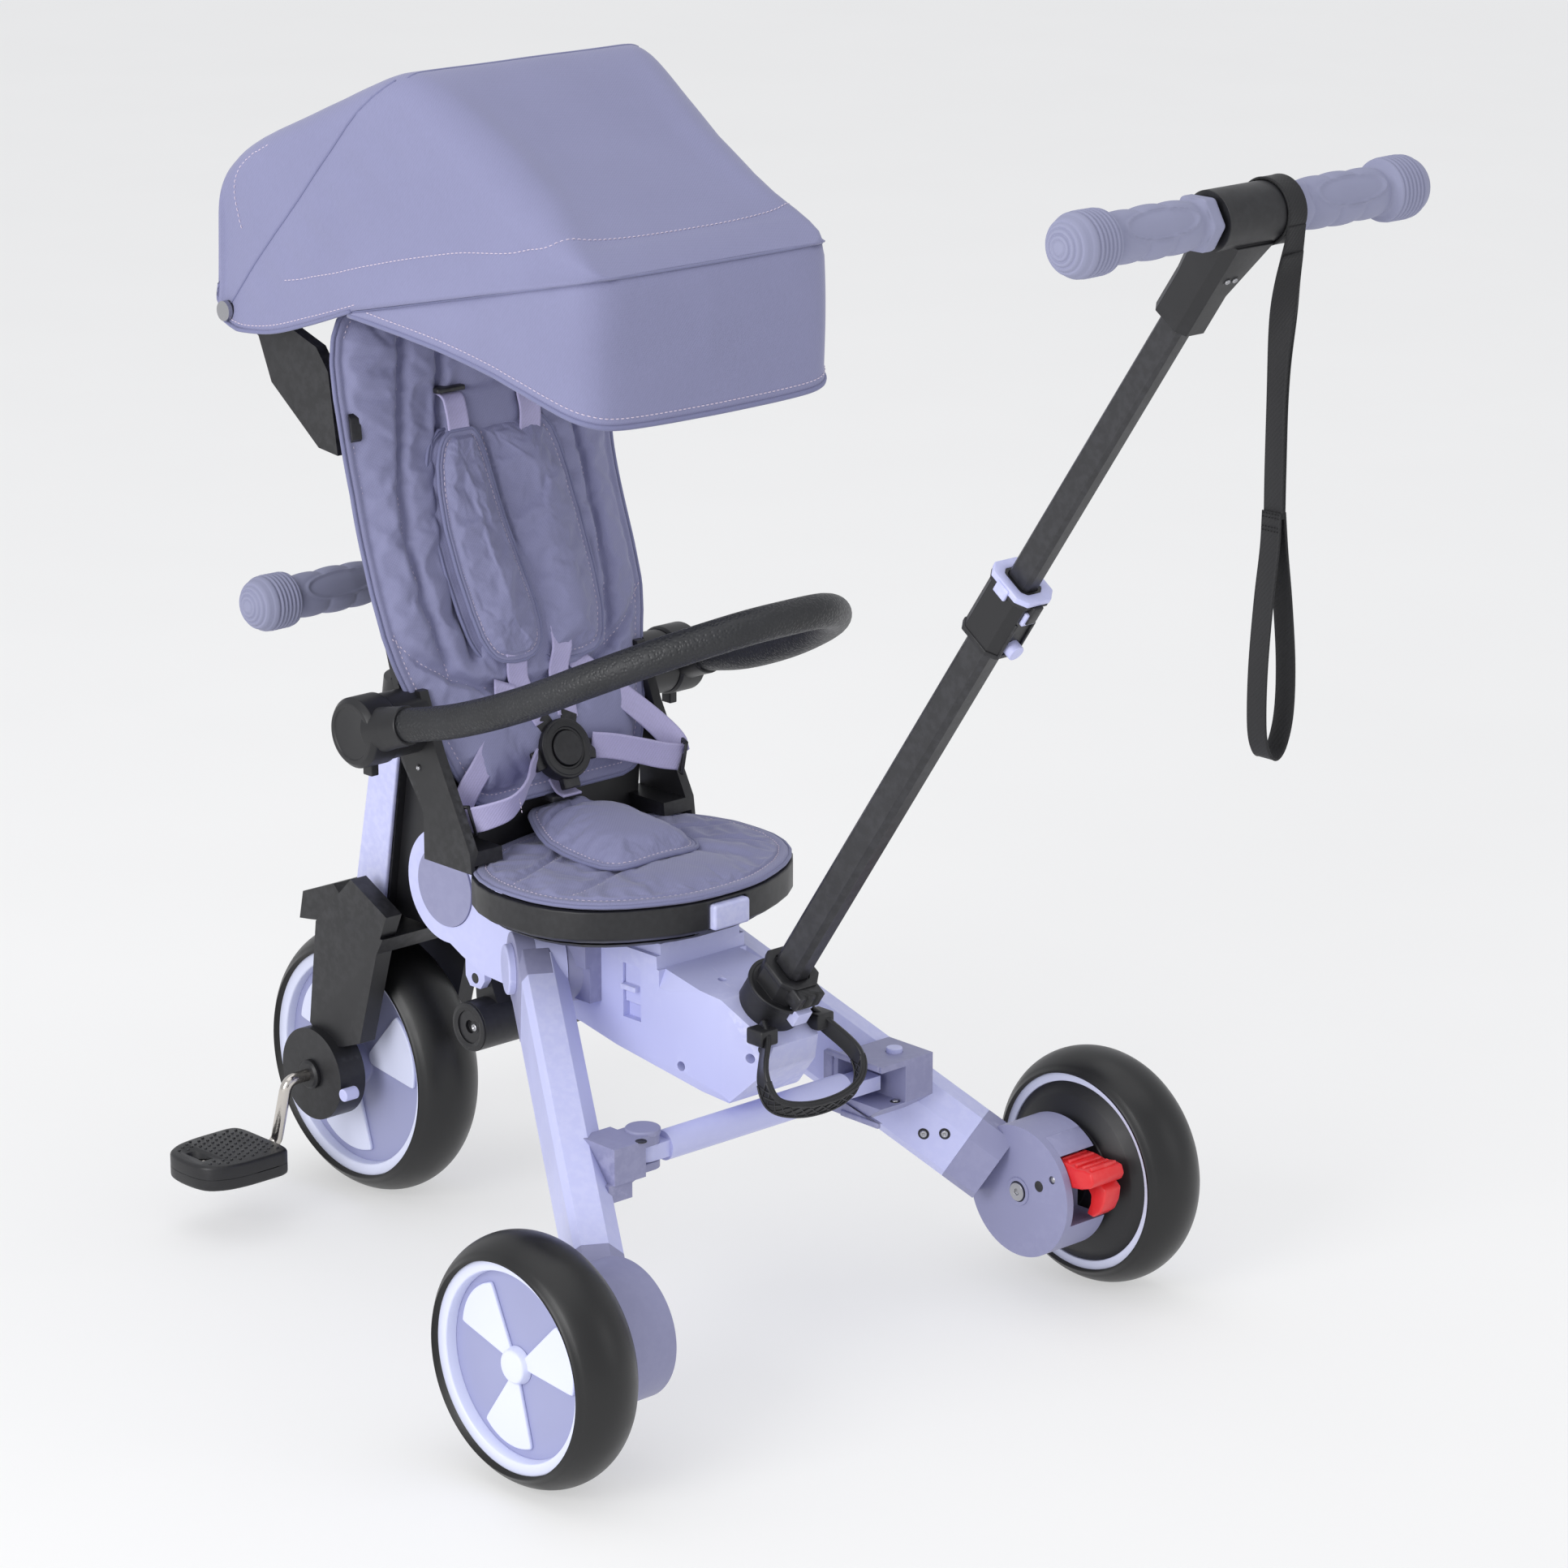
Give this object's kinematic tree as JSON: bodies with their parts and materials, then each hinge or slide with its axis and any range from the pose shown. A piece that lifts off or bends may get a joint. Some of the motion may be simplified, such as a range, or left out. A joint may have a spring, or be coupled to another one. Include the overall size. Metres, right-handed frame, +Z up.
{
  "type": "children's tricycle",
  "caption": "Folding children's tricycle with telescoping parent push bar, swivelling padded seat, harness, bumper bar, sun canopy, pedals and footrest.",
  "frame": {"origin": "middle of the footprint box, on the floor", "axes": "+X forward to the front wheel, +Y to the rider's left when facing forward, +Z up"},
  "size_m": [1.0151, 0.6056, 0.9085],
  "materials": {
    "lilac_plastic": "satin",
    "grey_lilac_plastic": "satin",
    "black_plastic": "satin",
    "wheel_plastic": "satin",
    "tyre": "satin",
    "steel": "brushed",
    "chrome": "polished",
    "red_plastic": "satin",
    "black_tube": "satin",
    "fabric": "woven",
    "webbing_lilac": "woven",
    "webbing_black": "woven",
    "grip_rubber": "matte",
    "foam_black": "pebbled"
  },
  "bodies": {
    "frame": {"body_shell_left": "lilac_plastic", "body_shell_right": "lilac_plastic", "joint_caps": "grey_lilac_plastic", "leg_brackets": "grey_lilac_plastic", "pins_and_screws": "steel", "pull_strap": "webbing_black", "brake_cable": "black_plastic"},
    "slider": {"fold_slider": "lilac_plastic"},
    "footrest": {"footrest": "black_plastic"},
    "left_leg": {"leg_beam_left": "lilac_plastic", "wheel_housing_left": "grey_lilac_plastic", "rear_axle_left": "steel", "crossbar_bracket": "grey_lilac_plastic"},
    "right_leg": {"leg_beam_right": "lilac_plastic", "wheel_housing_right": "grey_lilac_plastic", "rear_axle_right": "steel", "latch_bracket": "grey_lilac_plastic"},
    "crossbar": {"crossbar": "lilac_plastic"},
    "latch_button": {"latch_button": "lilac_plastic"},
    "brake": {"brake_pedal": "red_plastic"},
    "left_wheel": {"tyre_rear_left": "tyre", "rim_rear_left": "wheel_plastic"},
    "right_wheel": {"tyre_rear_right": "tyre", "rim_rear_right": "wheel_plastic"},
    "front_frame": {"front_frame": "black_plastic", "front_frame_trim": "lilac_plastic"},
    "steering": {"fork": "black_plastic", "steering_column": "black_tube", "handlebar_grips": "grip_rubber"},
    "front_wheel": {"tyre_front": "tyre", "rim_front": "wheel_plastic"},
    "crank": {"crank": "chrome"},
    "left_pedal": {"pedal_left": "black_plastic"},
    "right_pedal": {"pedal_right": "black_plastic"},
    "clutch_button": {"clutch_button": "lilac_plastic"},
    "seat": {"seat_base": "black_plastic", "seat_pad": "fabric", "seat_back": "black_plastic", "back_pad": "fabric", "harness_pads": "fabric", "harness_straps": "webbing_lilac", "buckle": "black_plastic", "canopy_arms": "black_plastic"},
    "seat_button": {"seat_button": "lilac_plastic"},
    "buckle_button": {"buckle_button": "black_plastic"},
    "bumper": {"bumper_bar": "foam_black"},
    "lever_left": {"bumper_lever_left": "black_plastic"},
    "lever_right": {"bumper_lever_right": "black_plastic"},
    "canopy": {"canopy_bows": "steel", "canopy_fabric": "fabric", "canopy_visor": "fabric"},
    "push_bar": {"pushbar_socket": "black_plastic", "pushbar_lower_tube": "black_tube", "pushbar_clamp": "black_plastic"},
    "socket_button": {"socket_button": "lilac_plastic"},
    "clamp_button": {"clamp_button": "lilac_plastic"},
    "push_handle": {"pushbar_upper_tube": "black_tube", "pushbar_head": "black_plastic", "pushbar_grips": "grip_rubber", "wrist_strap": "webbing_black"}
  },
  "joints": [
    {"name": "fold_slider_slide", "type": "slide", "parent": "frame", "child": "slider", "axis": [0, 0, 1], "range_m": [-0.009, 0]},
    {"name": "footrest_fold", "type": "hinge", "parent": "frame", "child": "footrest", "pos_m": [0.22295, 0, 0.224], "axis": [0, 1, 0], "range_deg": [0, 35]},
    {"name": "left_leg_fold", "type": "hinge", "parent": "frame", "child": "left_leg", "pos_m": [0.12295, 0.0661, 0.2627], "axis": [0.503, 0.8643, 0], "range_deg": [-42, 0]},
    {"name": "right_leg_fold", "type": "hinge", "parent": "frame", "child": "right_leg", "pos_m": [0.12295, -0.0661, 0.2627], "axis": [-0.503, 0.8643, 0], "range_deg": [-42, 0]},
    {"name": "crossbar_swing", "type": "hinge", "parent": "left_leg", "child": "crossbar", "pos_m": [-0.03505, 0.104, 0.175], "axis": [0, 0, 1], "range_deg": [-80, 0]},
    {"name": "latch_button_press", "type": "slide", "parent": "right_leg", "child": "latch_button", "axis": [0, 0, -1], "range_m": [0, 0.003], "stiffness_N_per_m": 300, "springref_m": -0.001},
    {"name": "brake_press", "type": "hinge", "parent": "right_leg", "child": "brake", "pos_m": [-0.15105, -0.214, 0.108], "axis": [0, -1, 0], "range_deg": [0, 14]},
    {"name": "left_wheel_spin", "type": "hinge", "parent": "left_leg", "child": "left_wheel", "pos_m": [-0.11705, 0.2751, 0.09], "axis": [0, 1, 0], "continuous": true},
    {"name": "right_wheel_spin", "type": "hinge", "parent": "right_leg", "child": "right_wheel", "pos_m": [-0.11705, -0.2751, 0.09], "axis": [0, 1, 0], "continuous": true},
    {"name": "front_fold", "type": "hinge", "parent": "frame", "child": "front_frame", "pos_m": [0.25195, 0, 0.29], "axis": [0, 1, 0], "range_deg": [0, 50]},
    {"name": "steer", "type": "hinge", "parent": "front_frame", "child": "steering", "pos_m": [0.32995, 0, 0.51], "axis": [-0.1737, 0, 0.9848], "range_deg": [-18, 18]},
    {"name": "push_steer", "type": "hinge", "parent": "frame", "child": "push_bar", "pos_m": [-0.05545, 0, 0.265], "axis": [-0.5678, 0, 0.8231], "range_deg": [-18, 18]},
    {"name": "front_wheel_spin", "type": "hinge", "parent": "steering", "child": "front_wheel", "pos_m": [0.40115, 0, 0.1064], "axis": [0, 1, 0], "continuous": true},
    {"name": "crank_spin", "type": "hinge", "parent": "steering", "child": "crank", "pos_m": [0.40115, 0, 0.1064], "axis": [0, 1, 0], "continuous": true},
    {"name": "left_pedal_spin", "type": "hinge", "parent": "crank", "child": "left_pedal", "pos_m": [0.40995, 0.14, 0.053], "axis": [0, 1, 0], "continuous": true},
    {"name": "right_pedal_spin", "type": "hinge", "parent": "crank", "child": "right_pedal", "pos_m": [0.39235, -0.14, 0.1598], "axis": [0, 1, 0], "continuous": true},
    {"name": "clutch_button_press", "type": "slide", "parent": "steering", "child": "clutch_button", "axis": [0, -1, 0], "range_m": [0, 0.003], "stiffness_N_per_m": 300, "springref_m": -0.001},
    {"name": "seat_swivel", "type": "hinge", "parent": "frame", "child": "seat", "pos_m": [0.08795, 0, 0.3], "axis": [0, 0, 1], "range_deg": [0, 180]},
    {"name": "seat_button_press", "type": "slide", "parent": "seat", "child": "seat_button", "axis": [1, 0, 0], "range_m": [0, 0.003], "stiffness_N_per_m": 300, "springref_m": -0.001},
    {"name": "buckle_button_press", "type": "slide", "parent": "seat", "child": "buckle_button", "axis": [0.9326, 0, -0.361], "range_m": [0, 0.002], "stiffness_N_per_m": 300, "springref_m": -0.001},
    {"name": "bumper_lift", "type": "hinge", "parent": "seat", "child": "bumper", "pos_m": [0.21395, 0, 0.438], "axis": [0, 1, 0], "range_deg": [0, 28]},
    {"name": "left_lever_press", "type": "slide", "parent": "bumper", "child": "lever_left", "axis": [0, 0, 1], "range_m": [0, 0.003], "stiffness_N_per_m": 300, "springref_m": -0.001},
    {"name": "right_lever_press", "type": "slide", "parent": "bumper", "child": "lever_right", "axis": [0, 0, 1], "range_m": [0, 0.003], "stiffness_N_per_m": 300, "springref_m": -0.001},
    {"name": "canopy_tilt", "type": "hinge", "parent": "seat", "child": "canopy", "pos_m": [0.37695, 0, 0.719], "axis": [0, 1, 0], "range_deg": [0, 40]},
    {"name": "push_extend", "type": "slide", "parent": "push_bar", "child": "push_handle", "axis": [-0.5678, 0, 0.8231], "range_m": [-0.18, 0]},
    {"name": "socket_button_press", "type": "slide", "parent": "push_bar", "child": "socket_button", "axis": [0.8231, 0, 0.5678], "range_m": [0, 0.003], "stiffness_N_per_m": 300, "springref_m": -0.001},
    {"name": "clamp_button_press", "type": "slide", "parent": "push_bar", "child": "clamp_button", "axis": [0.8231, 0, 0.5678], "range_m": [0, 0.002], "stiffness_N_per_m": 300, "springref_m": -0.001}
  ],
  "couplings": [
    {"joint": "right_leg_fold", "follows": "left_leg_fold", "ratio": 1},
    {"joint": "crossbar_swing", "follows": "left_leg_fold", "ratio": 1.9048},
    {"joint": "push_steer", "follows": "steer", "ratio": 1},
    {"joint": "crank_spin", "follows": "front_wheel_spin", "ratio": 1}
  ]
}
